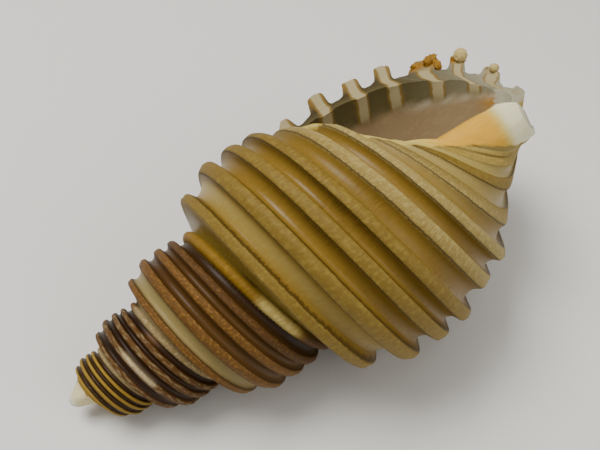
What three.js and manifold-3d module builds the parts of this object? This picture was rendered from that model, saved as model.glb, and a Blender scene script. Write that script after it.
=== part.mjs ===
// A ribbed whelk shell, grown in one piece: one closed solid, lying on its last whorl.
// The surface is a spiral. One outline, in a half-plane through the shell's own axis, grows at a
// steady rate as it turns, so each whorl is an enlarged copy of the one before it.
// Millimetres. In the shell's own frame Z runs from the apex to the siphonal canal.
import * as THREE from "three";
import { mergeVertices } from "three/addons/utils/BufferGeometryUtils.js";
import Module from "manifold-3d";

// Growth of the spiral, per radian, and the whole turn
const TURN = 2 * Math.PI;
const GROWTH_OUT = 0.067;
const GROWTH_ALONG = 0.0735;

// Crests of the spiral ribs at growth angle 0: distance from the axis, distance along the axis
const RIB_CRESTS = [
  [16.85, 37.4],
  [19.2, 42.5],
  [19.3, 47.1],
  [19.05, 50.8],
  [16.8, 55.4],
  [15.5, 59.0],
  [11.4, 62.1],
  [8.1, 64.9],
];
// Depth of the channel in front of each rib
const CHANNEL_DEPTHS = [2.4, 2.4, 2.3, 2.2, 2.0, 1.7, 1.2, 0.7];
// Share of the way from one crest to the next, and share of the channel's depth there
const RIB_SECTION = [
  [0, 0],
  [0.2, 0.1],
  [0.36, 0.88],
  [0.6, 1],
  [0.8, 0.1],
];
const COARSE_SECTION = [
  [0, 0],
  [0.5, 1],
];
const SPIRE_RIB_SECTION = [
  [0, 0],
  [0.24, 0.15],
  [0.42, 0.95],
  [0.74, 0.3],
];
// The seam with the whorl before, the narrow cord on it and the wall up to the first rib
const SHOULDER = [
  [9.6, 33.7],
  [11.7, 34.1],
  [12.0, 34.8],
  [11.8, 35.4],
  [13.7, 35.8],
  [16.2, 36.3],
];
// The weak last rib, the band of old canal ends, and the canal's wall
const CANAL_WALL = [
  [5.9, 66.6],
  [5.3, 67.6],
  [5.0, 70.2],
  [4.3, 74.7],
  [3.8, 78.7],
];

// The chamber: its outline at growth angle 0, from the seam along the lip's wall and back
const CHAMBER = [
  [13.2, 37.2],
  [14.6, 38.6],
  [16.1, 42.2],
  [16.3, 46.6],
  [15.9, 50.4],
  [14.1, 54.3],
  [12.2, 57.7],
  [8.9, 61.0],
  [6.2, 62.8],
  [4.0, 62.0],
  [3.0, 57.0],
  [2.7, 50.0],
  [3.0, 45.6],
  [3.8, 43.4],
  [5.5, 41.6],
  [7.8, 39.8],
  [10.7, 37.9],
];
const CHAMBER_TURN = { from: -90, to: 397, steps: 44 };
// The canal and the hollow beside the columella
const CANAL = [
  [8.9, 61.0],
  [6.2, 63.9],
  [4.7, 66.6],
  [3.9, 70.4],
  [3.2, 75.0],
  [2.6, 84.0],
  [0.2, 84.0],
  [0.2, 60.0],
  [0.3, 54.0],
  [0.7, 51.3],
  [1.2, 48.6],
  [1.4, 46.0],
  [1.75, 43.4],
  [2.8, 41.8],
  [5.0, 42.5],
  [6.0, 52.0],
];
const CANAL_TURN = { from: 150, to: 397, steps: 22 };

// Angles of the lip, in degrees of growth, at the seam, at each rib and at the canal
const LIP_ANGLES = [292, 286, 282, 280, 276, 271, 263, 242, 225];
const TOOTH_DEGREES = 4.5;
const WHORL_START = -66;
const OVERLAP = 1.5;
// The last part of the whorl draws out along the axis
const STRETCH = { from: 150, to: 290, share: 0.055 };
const WHORL_STEPS = [36, 26, 20, 14];
const SPIRE_FINE_RIBS = 4;
// The slanted plane that ends the canal: distance along the axis, slope, and where it is highest
const CANAL_END = 86.5;
const CANAL_END_SLOPE = 0.59;
const CANAL_END_HIGH = 257;

// The worn apex: distance from the axis, distance along the axis
const APEX = [
  [1.0, 5.2],
  [1.8, 6.1],
  [2.3, 7.4],
  [2.6, 8.8],
  [3.1, 10.4],
  [1.2, 11.9],
];
const APEX_SIDES = 12;
const APEX_SHIFT = 0.6;
const APEX_SIDE = -33;
// Where the solid whorl closes on the axis, above and below
const CORE_TOP = 27;
const CORE_BOTTOM = 80;
const CORE_RADIUS = 0.3;
const PLUG_RADIUS = 0.6;
const PLUG_SIDES = 8;
const PLUG_TOP = 7.3;
const PLUG_LENGTH = 84;

// How the shell lies: the growth angle that faces the floor, how far the apex tips down, and how
// deep the flats are worn
const LYING_SIDE = 204;
const APEX_DOWN = 21.7;
const FLAT_DEPTH = 0.4;
const SMALLEST_DETAIL = 0.02;

const wasm = await Module();
wasm.setup();

const radians = (degrees) => (degrees * Math.PI) / 180;

// How far the last part of the whorl is drawn out along the axis.
function stretched(angle) {
  const t = (angle - radians(STRETCH.from)) / radians(STRETCH.to - STRETCH.from);
  return 1 + STRETCH.share * THREE.MathUtils.smoothstep(t, 0, 1);
}

// A point of the spiral: an outline point carried to a growth angle.
function grown([out, along], angle) {
  const r = out * Math.exp(GROWTH_OUT * angle);
  const z = along * Math.exp(GROWTH_ALONG * angle) * stretched(angle);
  return [r * Math.cos(angle), r * Math.sin(angle), z];
}

// The outline of the whorl: shoulder, ribs with their channels, canal wall. Each point also has
// its lip angle. Ribs past the fine ones are drawn with the coarse section.
function outline(section, fineRibs) {
  const points = SHOULDER.map((at) => ({ at, lip: lipAngle(0, 0) }));
  const crests = [...RIB_CRESTS, CANAL_WALL[0]];
  RIB_CRESTS.forEach((crest, i) => {
    const next = crests[i + 1];
    const along = [next[0] - crest[0], next[1] - crest[1]];
    const length = Math.hypot(along[0], along[1]);
    const outward = [along[1] / length, -along[0] / length];
    for (const [share, depth] of i < fineRibs ? section : COARSE_SECTION) {
      const d = -depth * CHANNEL_DEPTHS[i];
      points.push({
        at: [
          crest[0] + along[0] * share + outward[0] * d,
          crest[1] + along[1] * share + outward[1] * d,
        ],
        lip: lipAngle(i + share, depth < 0.5 ? 1 : 0),
      });
    }
  });
  CANAL_WALL.forEach((at, i) => points.push({ at, lip: lipAngle(RIB_CRESTS.length + i / 4, 0) }));
  const end = points.at(-1).lip;
  points.push({ at: [CORE_RADIUS, CORE_BOTTOM], lip: end }, { at: [CORE_RADIUS, CORE_TOP], lip: end });
  return points;
}

// The growth angle of the lip at a place along the outline, counted in ribs.
function lipAngle(place, onRib) {
  const i = Math.min(Math.floor(place), LIP_ANGLES.length - 2);
  const f = Math.min(place - i, 1);
  return radians(LIP_ANGLES[i] * (1 - f) + LIP_ANGLES[i + 1] * f + TOOTH_DEGREES * (onRib - 1));
}

// A manifold solid from vertices and triangles.
function solid(vertices, triangles) {
  const g = new THREE.BufferGeometry();
  g.setAttribute("position", new THREE.Float32BufferAttribute(vertices.flat(), 3));
  g.setIndex(triangles.flat());
  return solidOf(g);
}

function solidOf(geometry) {
  geometry.deleteAttribute("normal");
  geometry.deleteAttribute("uv");
  const m = mergeVertices(geometry, 1e-4);
  return new wasm.Manifold(
    new wasm.Mesh({
      numProp: 3,
      vertProperties: m.attributes.position.array,
      triVerts: new Uint32Array(m.index.array),
    }),
  );
}

// A closed loop of outline points carried from one growth angle to another. A point that has a
// lip angle can end there instead.
function swept(loop, from, to, steps, toLip = false) {
  const n = loop.length;
  const vertices = [];
  const triangles = [];
  for (let j = 0; j <= steps; j++)
    for (const p of loop) {
      const end = toLip ? p.lip : to;
      vertices.push(grown(p.at, j === steps ? end : from + ((end - from) * j) / steps));
    }
  for (let j = 0; j < steps; j++)
    for (let i = 0; i < n; i++) {
      const k = (i + 1) % n;
      triangles.push([j * n + i, (j + 1) * n + i, (j + 1) * n + k]);
      triangles.push([j * n + i, (j + 1) * n + k, j * n + k]);
    }
  const section = loop.map(({ at: [out, along] }) => new THREE.Vector2(out, along));
  for (const [a, b, c] of THREE.ShapeUtils.triangulateShape(section, [])) {
    triangles.push([a, b, c]);
    triangles.push([steps * n + c, steps * n + b, steps * n + a]);
  }
  return solid(vertices, triangles);
}

// A hollow with a closed outline.
function hollow(loop, { from, to, steps }) {
  const points = loop.map((at) => ({ at }));
  return swept(points, radians(from), radians(to), steps);
}

// The growth angle a number of half turns back from the start of the last whorl.
function halfTurnsBack(count) {
  return radians(WHORL_START) - (TURN / 2) * count;
}

// One whorl, filled to the core, in two half turns. The last whorl starts a little inside the one
// before it.
function whorl(points, turnsBack, steps) {
  const half = halfTurnsBack(2 * turnsBack - 1);
  const isLast = turnsBack === 0;
  const start = halfTurnsBack(2 * turnsBack) - (isLast ? radians(OVERLAP) : 0);
  const first = swept(points, start, half, steps / 2);
  return first.add(swept(points, half, halfTurnsBack(2 * turnsBack - 2), steps / 2, isLast));
}

// The worn apex, a blunt cone set a little to one side.
function apexNub() {
  const profile = [[0, APEX[0][1]], ...APEX, [0, APEX.at(-1)[1]]];
  const g = new THREE.LatheGeometry(
    profile.map(([x, y]) => new THREE.Vector2(x, y)),
    APEX_SIDES,
  );
  g.rotateX(Math.PI / 2);
  g.translate(APEX_SHIFT * Math.cos(radians(APEX_SIDE)), APEX_SHIFT * Math.sin(radians(APEX_SIDE)), 0);
  return solidOf(g);
}

// A block past the slanted plane that ends the canal.
function beyondCanal() {
  const g = new THREE.BoxGeometry(200, 200, 60);
  g.translate(0, 0, 30);
  g.rotateY(-Math.atan(CANAL_END_SLOPE));
  g.rotateZ(radians(CANAL_END_HIGH));
  g.translate(0, 0, CANAL_END);
  return solidOf(g);
}

// The solid core on the axis.
function plug() {
  const g = new THREE.CylinderGeometry(PLUG_RADIUS, PLUG_RADIUS, PLUG_LENGTH, PLUG_SIDES);
  g.rotateX(Math.PI / 2);
  g.translate(0, 0, PLUG_TOP + PLUG_LENGTH / 2);
  return solidOf(g);
}

// The whole shell in its own frame: whorls, apex and core, less the hollows and what is past the end.
function grownShell() {
  const lastWhorl = outline(RIB_SECTION, RIB_CRESTS.length);
  const spireWhorl = outline(SPIRE_RIB_SECTION, SPIRE_FINE_RIBS);
  let shell = apexNub().add(plug());
  WHORL_STEPS.forEach((steps, turnsBack) => {
    shell = shell.add(whorl(turnsBack === 0 ? lastWhorl : spireWhorl, turnsBack, steps));
  });
  shell = shell.subtract(hollow(CHAMBER, CHAMBER_TURN)).subtract(hollow(CANAL, CANAL_TURN));
  return largestBody(shell.subtract(beyondCanal()).simplify(SMALLEST_DETAIL));
}

// The largest body of a solid, without loose chips.
function largestBody(shape) {
  const bodies = shape.decompose();
  bodies.sort((a, b) => b.volume() - a.volume());
  return bodies[0];
}

// The shell lying on the floor, with a small flat worn on each rib that it rests on.
function lying(shell) {
  const turned = shell.rotate([0, 0, -LYING_SIDE]).rotate([0, 90 - APEX_DOWN, 0]);
  const { min, max } = turned.boundingBox();
  const middle = [(min[0] + max[0]) / 2, (min[1] + max[1]) / 2];
  return turned.translate([-middle[0], -middle[1], -min[2] - FLAT_DEPTH]).trimByPlane([0, 0, 1], 0);
}

// The mesh of the shell.
function shellMesh() {
  const { vertProperties, triVerts } = lying(grownShell()).getMesh();
  const g = new THREE.BufferGeometry();
  g.setAttribute("position", new THREE.BufferAttribute(vertProperties, 3));
  g.setIndex(new THREE.BufferAttribute(triVerts, 1));
  g.computeVertexNormals();
  const material = new THREE.MeshStandardMaterial({ color: 0xb08a4e, roughness: 0.45, metalness: 0 });
  const mesh = new THREE.Mesh(g, material);
  mesh.name = "whelk_shell";
  return mesh;
}

const root = new THREE.Group();
root.name = "ribbed_whelk";
root.add(shellMesh());
export default root;
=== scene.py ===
"""A ribbed whelk shell that lies on its body whorl, with its aperture open upward.

The shell grows along a spiral. One outline, in a half-plane through the shell's own axis, is
carried round that axis and enlarged steadily. The shapes are worked out in millimetres in the
shell's own frame, Z from the apex to the siphonal canal, and then laid down in the shared frame.
"""

from __future__ import annotations

import logging
import math
from collections.abc import Callable, Sequence
from dataclasses import dataclass, field
from enum import Enum

import bpy
import numpy as np
from mathutils import Matrix, Vector, kdtree, noise

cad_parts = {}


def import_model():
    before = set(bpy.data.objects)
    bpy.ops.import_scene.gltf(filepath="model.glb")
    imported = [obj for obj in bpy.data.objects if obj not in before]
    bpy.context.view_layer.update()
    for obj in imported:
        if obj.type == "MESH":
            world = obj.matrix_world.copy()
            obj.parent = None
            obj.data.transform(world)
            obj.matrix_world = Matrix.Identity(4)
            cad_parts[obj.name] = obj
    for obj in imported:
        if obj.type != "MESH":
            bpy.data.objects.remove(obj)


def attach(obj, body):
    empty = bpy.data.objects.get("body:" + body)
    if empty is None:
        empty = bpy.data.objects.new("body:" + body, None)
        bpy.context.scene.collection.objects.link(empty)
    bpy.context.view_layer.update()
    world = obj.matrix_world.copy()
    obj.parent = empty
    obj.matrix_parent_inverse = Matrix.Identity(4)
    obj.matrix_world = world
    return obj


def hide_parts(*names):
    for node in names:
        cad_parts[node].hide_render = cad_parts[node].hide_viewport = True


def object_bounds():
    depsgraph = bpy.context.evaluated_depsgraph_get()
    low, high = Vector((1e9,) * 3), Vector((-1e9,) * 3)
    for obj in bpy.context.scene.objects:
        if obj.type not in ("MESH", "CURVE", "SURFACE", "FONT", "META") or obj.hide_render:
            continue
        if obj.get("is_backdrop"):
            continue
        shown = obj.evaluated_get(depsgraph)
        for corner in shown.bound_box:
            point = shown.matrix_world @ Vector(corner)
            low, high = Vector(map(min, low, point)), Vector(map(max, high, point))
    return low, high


LOG = logging.getLogger("whelk")
MM = 0.001
SMOOTH_DEGREES = 50.0
Pair = tuple[float, float]
Triple = tuple[float, float, float]
Loop = Sequence[Pair]
Socket = bpy.types.NodeSocket


class Skin(Enum):
    """The kinds of surface that the shell shows."""

    OUTSIDE = 0
    CHAMBER = 1
    CANAL = 2
    APEX = 3
    KNOB = 4
    SHRED = 5


def ease(value: np.ndarray | float, low: float, high: float) -> np.ndarray:
    """A smooth step.

    Args:
        value: Where to read the step.
        low: Where it is still 0.
        high: Where it has become 1.

    Returns:
        The step at each value.
    """
    t = np.clip((np.asarray(value, float) - low) / (high - low), 0, 1)
    return t * t * (3 - 2 * t)


def bump(value: np.ndarray, middle: float, width: float) -> np.ndarray:
    """A soft bell, 1 at its middle and near 0 at twice its width."""
    return np.exp(-(((value - middle) / width) ** 2))


@dataclass(frozen=True)
class Growth:
    """How the shell's outline grows, and how the grown shell lies on the floor."""

    out: float = 0.067
    along: float = 0.0735
    stretch_from: float = 150.0
    stretch_to: float = 290.0
    stretch_share: float = 0.055
    lying_side: float = 204.0
    apex_down: float = 21.7
    shift_mm: Triple = (-46.51, -2.256, 1.497)

    def carry(self, out: np.ndarray, along: np.ndarray, degrees: np.ndarray) -> np.ndarray:
        """Carries outline points round the axis.

        Args:
            out: Distances from the axis at growth angle 0.
            along: Distances along the axis at growth angle 0.
            degrees: The growth angle of each point.

        Returns:
            Points in the shell's own frame, in millimetres.
        """
        angle = np.radians(degrees)
        drawn = 1 + self.stretch_share * ease(degrees, self.stretch_from, self.stretch_to)
        r = out * np.exp(self.out * angle)
        z = along * np.exp(self.along * angle) * drawn
        return np.stack([r * np.cos(angle), r * np.sin(angle), z], -1)

    def laid(self) -> Matrix:
        """The matrix from the shell's own frame in millimetres to the shared frame in metres."""
        turn = Matrix.Rotation(math.radians(-self.lying_side), 4, "Z")
        tip = Matrix.Rotation(math.radians(90 - self.apex_down), 4, "Y")
        shift = Matrix.Translation(Vector(self.shift_mm))
        return Matrix.Scale(MM, 4) @ shift @ tip @ turn


@dataclass(frozen=True)
class OutlineRows:
    """Points of an outline, with one value of each kind for every point.

    out and along are the distances from the axis and along it before the channel is sunk, and
    normal_out and normal_along point outward from the line of crests. depth is how deep a point
    is sunk, place is where it is along the outline, counted in ribs, and relief is 0 on a crest
    and 1 at the bottom of a channel. lip is the growth angle where it meets the lip, and
    full_depth is the depth of its whole channel.
    """

    out: np.ndarray
    along: np.ndarray
    normal_out: np.ndarray
    normal_along: np.ndarray
    depth: np.ndarray
    place: np.ndarray
    relief: np.ndarray
    lip: np.ndarray
    full_depth: np.ndarray


@dataclass(frozen=True)
class Outline:
    """The whorl's outline at growth angle 0: out from the axis, and along it."""

    shoulder: Loop = (
        (9.6, 33.7), (10.9, 33.72), (11.7, 33.9), (12.15, 34.3), (12.25, 34.8), (12.0, 35.25),
        (11.6, 35.5), (12.0, 35.85), (13.2, 36.2), (14.6, 36.45), (15.7, 36.6), (16.4, 36.75),
        (16.75, 37.0),
    )
    crests: Loop = (
        (16.85, 37.4), (19.2, 42.5), (19.3, 47.1), (19.05, 50.8),
        (16.8, 55.4), (15.5, 59.0), (11.4, 62.1), (8.1, 64.9),
    )
    depths: Sequence[float] = (1.85, 1.9, 1.85, 1.75, 1.6, 1.4, 1.0, 0.6)
    first_band: tuple[Pair, ...] = ((0, 0), (0.285, 0.175), (0.42, 0.36), (1, 1))
    wall: Loop = ((5.9, 66.6), (5.3, 67.6), (5.0, 70.2), (4.3, 74.7), (3.8, 78.7))
    core: Loop = ((0.3, 80.0), (0.3, 27.0))
    body_channel: Loop = (
        (0, 0), (0.1, 0.02), (0.16, 0.05), (0.2, 0.12), (0.222, 0.28), (0.237, 0.5),
        (0.255, 0.75), (0.285, 0.92), (0.34, 1), (0.42, 1), (0.5, 0.96), (0.58, 0.87),
        (0.65, 0.74), (0.7, 0.56), (0.733, 0.38), (0.76, 0.2), (0.795, 0.08), (0.85, 0.03),
        (0.93, 0.01),
    )
    spire_channel: Loop = (
        (0, 0), (0.1, 0.02), (0.18, 0.08), (0.22, 0.2), (0.26, 0.42), (0.3, 0.64),
        (0.36, 0.76), (0.45, 0.8), (0.56, 0.75), (0.64, 0.6), (0.7, 0.4), (0.745, 0.2),
        (0.8, 0.07), (0.9, 0.02),
    )
    wall_points: int = 31
    folds: int = 5
    fold_depth: float = 0.35
    lip_degrees: Sequence[float] = (292.5, 287.6, 283.4, 281.6, 276.6, 271, 262, 241, 225)
    tooth_degrees: float = 2.7
    crumble_degrees: float = 1.6
    crumbs_per_rib: float = 7.3
    crumbly_places: Pair = (4.4, 6.0)
    calm_edge: float = 0.35
    tooth_calm: float = 0.7

    def lip(self, place: float, on_rib: float) -> float:
        """The lip's growth angle, with its teeth and its crumbled edge.

        Args:
            place: The place along the rim, counted in ribs.
            on_rib: 1 on a tooth and 0 between two teeth.

        Returns:
            The growth angle in degrees.
        """
        edge = float(np.interp(place, range(len(self.lip_degrees)), self.lip_degrees))
        crumbly = self.calm_edge + (1 - self.calm_edge) * float(ease(place, *self.crumbly_places))
        rough = noise.noise(Vector((place * self.crumbs_per_rib, 4.2, 0.7))) * crumbly
        tooth = self.tooth_degrees * (on_rib - 1)
        return edge + tooth + self.crumble_degrees * rough * (1 - self.tooth_calm * on_rib)

    def points(self, channel: Loop, fine_ribs: int) -> OutlineRows:
        """The outline's points.

        Args:
            channel: Share of the pitch and share of the depth, from one crest to the next.
            fine_ribs: How many ribs are drawn with the full channel.

        Returns:
            The rows of the outline, ending with the two points on the core.
        """
        rows = []
        count = len(self.shoulder)
        for i, (out, along) in enumerate(self.shoulder):
            rows.append((out, along, 0, 0, 0, -1 + i / count, 0, self.lip(0, 0), 0))
        ends = (*self.crests, self.wall[0])
        for i, crest in enumerate(self.crests):
            step = np.subtract(ends[i + 1], crest)
            normal = np.array([step[1], -step[0]]) / np.hypot(*step)
            full = self.depths[i]
            for share, depth in channel if i < fine_ribs else ((0, 0), (0.5, 1)):
                drawn = np.interp(share, *np.transpose(self.first_band)) if i == 0 else share
                at = crest + step * drawn
                tooth = 1 - ease(depth, 0.15, 0.85)
                lip = self.lip(i + share, float(tooth))
                rows.append((*at, *normal, depth * full, i + share, depth, lip, full))
        wall = np.array(self.wall)
        for t in np.linspace(0, 1, self.wall_points):
            at = [np.interp(t * 4, range(5), wall[:, k]) for k in (0, 1)]
            fold = (0.5 - 0.5 * math.cos(2 * math.pi * self.folds * t)) * (1 - t) ** 0.5
            depth = self.fold_depth * fold
            rows.append((*at, 1, 0, depth, 8 + t, 0.55 * fold, self.lip(8 + t, 0), 0.2))
        for out, along in self.core:
            rows.append((out, along, 0, 0, 0, 9.5, 0, rows[-1][7], 0))
        return OutlineRows(*np.array(rows, float).T)

    def nearest_place(self, out: np.ndarray, along: np.ndarray) -> np.ndarray:
        """The place, counted in ribs, of points near the line of crests."""
        ends = np.array((*self.crests, self.wall[0]))
        best = np.full(out.shape, np.inf)
        place = np.zeros(out.shape)
        for i in range(len(ends) - 1):
            a, b = ends[i], ends[i + 1]
            d = b - a
            t = np.clip(((out - a[0]) * d[0] + (along - a[1]) * d[1]) / (d @ d), 0, 1)
            away = np.hypot(out - a[0] - t * d[0], along - a[1] - t * d[1])
            nearer = away < best
            best = np.where(nearer, away, best)
            place = np.where(nearer, i + t, place)
        return place


def rounded(loop: Loop, parts: int) -> np.ndarray:
    """A closed loop with a smooth curve through its points.

    Args:
        loop: The points of the loop.
        parts: How many pieces each side is cut into.

    Returns:
        The points of the smooth loop.
    """
    p = np.array(loop, float)
    before, after, beyond = np.roll(p, 1, 0), np.roll(p, -1, 0), np.roll(p, -2, 0)
    curve = []
    for t in np.arange(parts) / parts:
        curve.append(
            0.5
            * (
                2 * p
                + (after - before) * t
                + (2 * before - 5 * p + 4 * after - beyond) * t**2
                + (3 * p - before - 3 * after + beyond) * t**3
            )
        )
    return np.stack(curve, 1).reshape(-1, 2)


@dataclass
class SkinMarks:
    """Sample points of every surface, with what kind it is and where on the spiral."""

    points: list[np.ndarray] = field(default_factory=list)
    marks: list[np.ndarray] = field(default_factory=list)

    def add(self, points: np.ndarray, skin: Skin, degrees: np.ndarray, place: np.ndarray,
            relief: np.ndarray) -> None:
        """Stores samples in the shared frame with their kind, growth angle, place and relief."""
        count = len(points)
        row = np.stack([np.full(count, skin.value), degrees, place, relief], 1)
        self.points.append(points)
        self.marks.append(row)

    def read(self, where: np.ndarray) -> np.ndarray:
        """The marks of the sample nearest to each point."""
        points = np.concatenate(self.points)
        marks = np.concatenate(self.marks)
        tree = kdtree.KDTree(len(points))
        for i, p in enumerate(points):
            tree.insert(p, i)
        tree.balance()
        nearest = [tree.find(p)[1] for p in where]
        return marks[nearest]


def alone(piece: bpy.types.Object) -> None:
    """Selects one object, and makes it the active one."""
    bpy.ops.object.select_all(action="DESELECT")
    piece.select_set(True)
    bpy.context.view_layer.objects.active = piece


def primitive(name: str, add: Callable[..., set[str]], **settings: float) -> bpy.types.Object:
    """Adds a primitive at the origin, with nothing else selected.

    Args:
        name: The object's name.
        add: The operator that adds it.
        settings: The operator's own settings.

    Returns:
        The new object.
    """
    bpy.ops.object.select_all(action="DESELECT")
    add(**settings)
    piece = bpy.context.active_object
    piece.name = name
    return piece


def in_edit(piece: bpy.types.Object) -> None:
    """Opens one object in edit mode with all of it selected."""
    alone(piece)
    bpy.ops.object.mode_set(mode="EDIT")
    bpy.ops.mesh.select_all(action="SELECT")


def finish_edit() -> None:
    """Goes back to object mode."""
    bpy.ops.object.mode_set(mode="OBJECT")


def coordinates(piece: bpy.types.Object) -> np.ndarray:
    """The vertex positions of an object, one row each."""
    flat = np.empty(len(piece.data.vertices) * 3, np.float32)
    piece.data.vertices.foreach_get("co", flat)
    return flat.reshape(-1, 3)


def move_vertices(piece: bpy.types.Object, to: np.ndarray) -> None:
    """Puts an object's vertices at new positions."""
    piece.data.vertices.foreach_set("co", to.astype(np.float32).ravel())
    piece.data.update()


def cut_or_join(piece: bpy.types.Object, tool: bpy.types.Object, how: str) -> None:
    """Applies a Boolean with a closed tool, which is then removed.

    Args:
        piece: The object that stays.
        tool: The object that is joined to it or cut from it.
        how: UNION or DIFFERENCE.
    """
    modifier = piece.modifiers.new("shape", "BOOLEAN")
    modifier.operation = how
    modifier.solver = "MANIFOLD"
    modifier.object = tool
    alone(piece)
    before = len(piece.data.polygons)
    bpy.ops.object.modifier_apply(modifier="shape")
    LOG.info("%s %s: %d to %d faces", how.lower(), tool.name, before, len(piece.data.polygons))
    bpy.data.objects.remove(tool, do_unlink=True)


@dataclass
class WhelkShell:
    """The whole shell, one grown piece."""

    growth: Growth = field(default_factory=Growth)
    outline: Outline = field(default_factory=Outline)
    marks: SkinMarks = field(default_factory=SkinMarks)
    step_degrees: float = 3.0
    whorl_start: float = -66.0
    whorls: int = 4
    chamber: Loop = (
        (13.2, 37.2), (14.6, 38.6), (16.1, 42.2), (16.3, 46.6), (15.9, 50.4), (14.1, 54.3),
        (12.2, 57.7), (8.9, 61.0), (6.2, 62.8), (4.0, 62.0), (3.0, 57.0), (2.7, 50.0),
        (3.0, 45.6), (3.8, 43.4), (5.5, 41.6), (7.8, 39.8), (10.7, 37.9),
    )
    chamber_turn: Pair = (-90.0, 397.0)
    canal: Loop = (
        (8.9, 61.0), (6.2, 63.9), (4.7, 66.6), (3.9, 70.4), (3.2, 75.0), (2.6, 84.0),
        (0.2, 84.0), (0.2, 60.0), (0.3, 54.0), (0.7, 51.3), (1.2, 48.6), (1.4, 46.0),
        (1.75, 43.4), (2.8, 41.8), (5.0, 42.5), (6.0, 52.0),
    )
    canal_turn: Pair = (150.0, 397.0)
    tip_middle: Triple = (30.21, -3.87, 29.50)
    tip_along: Triple = (0.87159, -0.48894, 0.03563)
    tip_up: Triple = (0.355, 0.6796, 0.64196)
    tip_egg: Triple = (5.35, 3.9, 15.0)
    tip_block: tuple[Triple, Triple] = ((-4.4, -1.2, -9.0), (9.0, 9.0, 13.0))
    hollow_parts: int = 8
    outer_wall_normal: float = 0.15
    outer_wall_out: float = 8.0
    post_depth: float = 0.3
    post_half_width: Pair = (0.14, 0.26)
    post_behind_lip: Pair = (-18.0, -11.0)
    past_lip: float = 310.0
    swelling_mm: float = 0.15
    growth_mark_mm: float = 0.07
    worn_mm: float = 0.1
    channel_calm: float = 0.8
    skin_end: float = 9.2
    callus_places: Sequence[float] = (
        1.2, 2.0, 3.0, 4.0, 5.0, 6.0, 7.0, 8.0, 8.2, 8.32, 8.42, 8.55,
    )
    callus_degrees: Sequence[float] = (
        -90.0, -67.0, -45.0, -24.0, 7.0, 24.0, 36.0, 45.0, 57.0, 76.0, 120.0, 190.0,
    )
    callus_level: float = 0.3
    callus_from: float = -75.0
    callus_fade: float = 1.8
    spread_places: Sequence[float] = (-1.0, 0.0, 1.0, 2.0, 3.0, 4.0, 5.0, 6.0, 7.0, 8.0)
    spread_degrees: Pair = (190.0, 285.0)
    spread_mm: Sequence[float] = (-1.6, -1.6, -1.4, -1.1, -0.4, 0.2, 0.8, 0.4, 0.4, 0.0)
    canal_end: float = 86.5
    canal_end_slope: float = 0.59
    canal_end_high: float = 257.0
    canal_end_block: Triple = (200.0, 200.0, 60.0)
    apex: Loop = (
        (0.0, 5.2), (0.5, 5.25), (0.85, 5.5), (1.2, 5.95), (1.5, 6.6), (1.85, 7.4), (2.15, 8.4),
        (2.6, 9.6), (3.1, 10.4), (1.2, 11.9), (0.0, 11.9),
    )
    apex_shift: float = 0.6
    apex_side: float = -33.0
    apex_sides: int = 48
    apex_degrees: float = -1100.0
    facet_turn: float = 1.3
    facet_rise: float = 0.5
    facet_depth: float = 0.3
    plug_sides: int = 16
    plug_radius: float = 0.6
    plug_top: float = 7.3
    plug_length: float = 84.0
    floor_block: float = 0.1
    lip_lumps: Sequence[tuple[float, float, Triple, float, Skin]] = (
        (5.02, 1.0, (1.25, 1.3, 1.0), 0.0, Skin.KNOB),
        (4.8, -1.6, (0.45, 1.1, 0.35), 20.0, Skin.SHRED),
        (4.08, 0.2, (1.5, 0.95, 0.4), 8.0, Skin.SHRED),
        (3.78, -2.4, (1.5, 0.8, 0.35), -25.0, Skin.SHRED),
        (3.64, -4.0, (0.5, 1.5, 0.35), -35.0, Skin.SHRED),
        (4.3, -2.6, (0.8, 1.2, 0.35), 20.0, Skin.SHRED),
        (5.95, -0.6, (0.9, 0.8, 0.6), 0.0, Skin.KNOB),
    )

    def build(self) -> bpy.types.Object:
        """Makes the shell's mesh.

        Returns:
            The shell as one object in the shared frame.
        """
        body = self.outline.points(self.outline.body_channel, 8)
        spire = self.outline.points(self.outline.spire_channel, 4)
        shell = self.nub()
        cut_or_join(shell, self.plug(), "UNION")
        for back in range(self.whorls):
            start = self.whorl_start - 360 * back
            rows = body if back == 0 else spire
            for half in (0, 1):
                low = start + 180 * half
                to_lip = back == 0 and half == 1
                tube = self.tube(f"whorl_{back}_{half}", rows, low, low + 180, to_lip)
                cut_or_join(shell, tube, "UNION")
        for name, loop, turn, skin in (
            ("chamber", self.chamber, self.chamber_turn, Skin.CHAMBER),
            ("canal", self.canal, self.canal_turn, Skin.CANAL),
        ):
            cut_or_join(shell, self.hollow(name, loop, turn, skin), "DIFFERENCE")
        for n, lump in enumerate(self.lip_lumps):
            cut_or_join(shell, self.lump(f"lip_lump_{n}", *lump), "UNION")
        cut_or_join(shell, self.past_the_end(), "DIFFERENCE")
        cut_or_join(shell, self.round_tip(), "DIFFERENCE")
        cut_or_join(shell, self.below_the_floor(), "DIFFERENCE")
        self.one_body(shell)
        shell.name = "shell_visual"
        return shell

    def one_body(self, shell: bpy.types.Object) -> None:
        """Keeps the shell's largest body and drops loose crumbs and closed pockets."""
        in_edit(shell)
        bpy.ops.mesh.separate(type="LOOSE")
        finish_edit()
        bodies = [body for body in bpy.context.selected_objects if body is not shell]
        largest = max([shell, *bodies], key=lambda body: len(body.data.vertices))
        if largest is not shell:
            shell.data, largest.data = largest.data, shell.data
        for body in bodies:
            bpy.data.objects.remove(body, do_unlink=True)
        LOG.info("dropped %d loose bodies", len(bodies))

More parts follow.
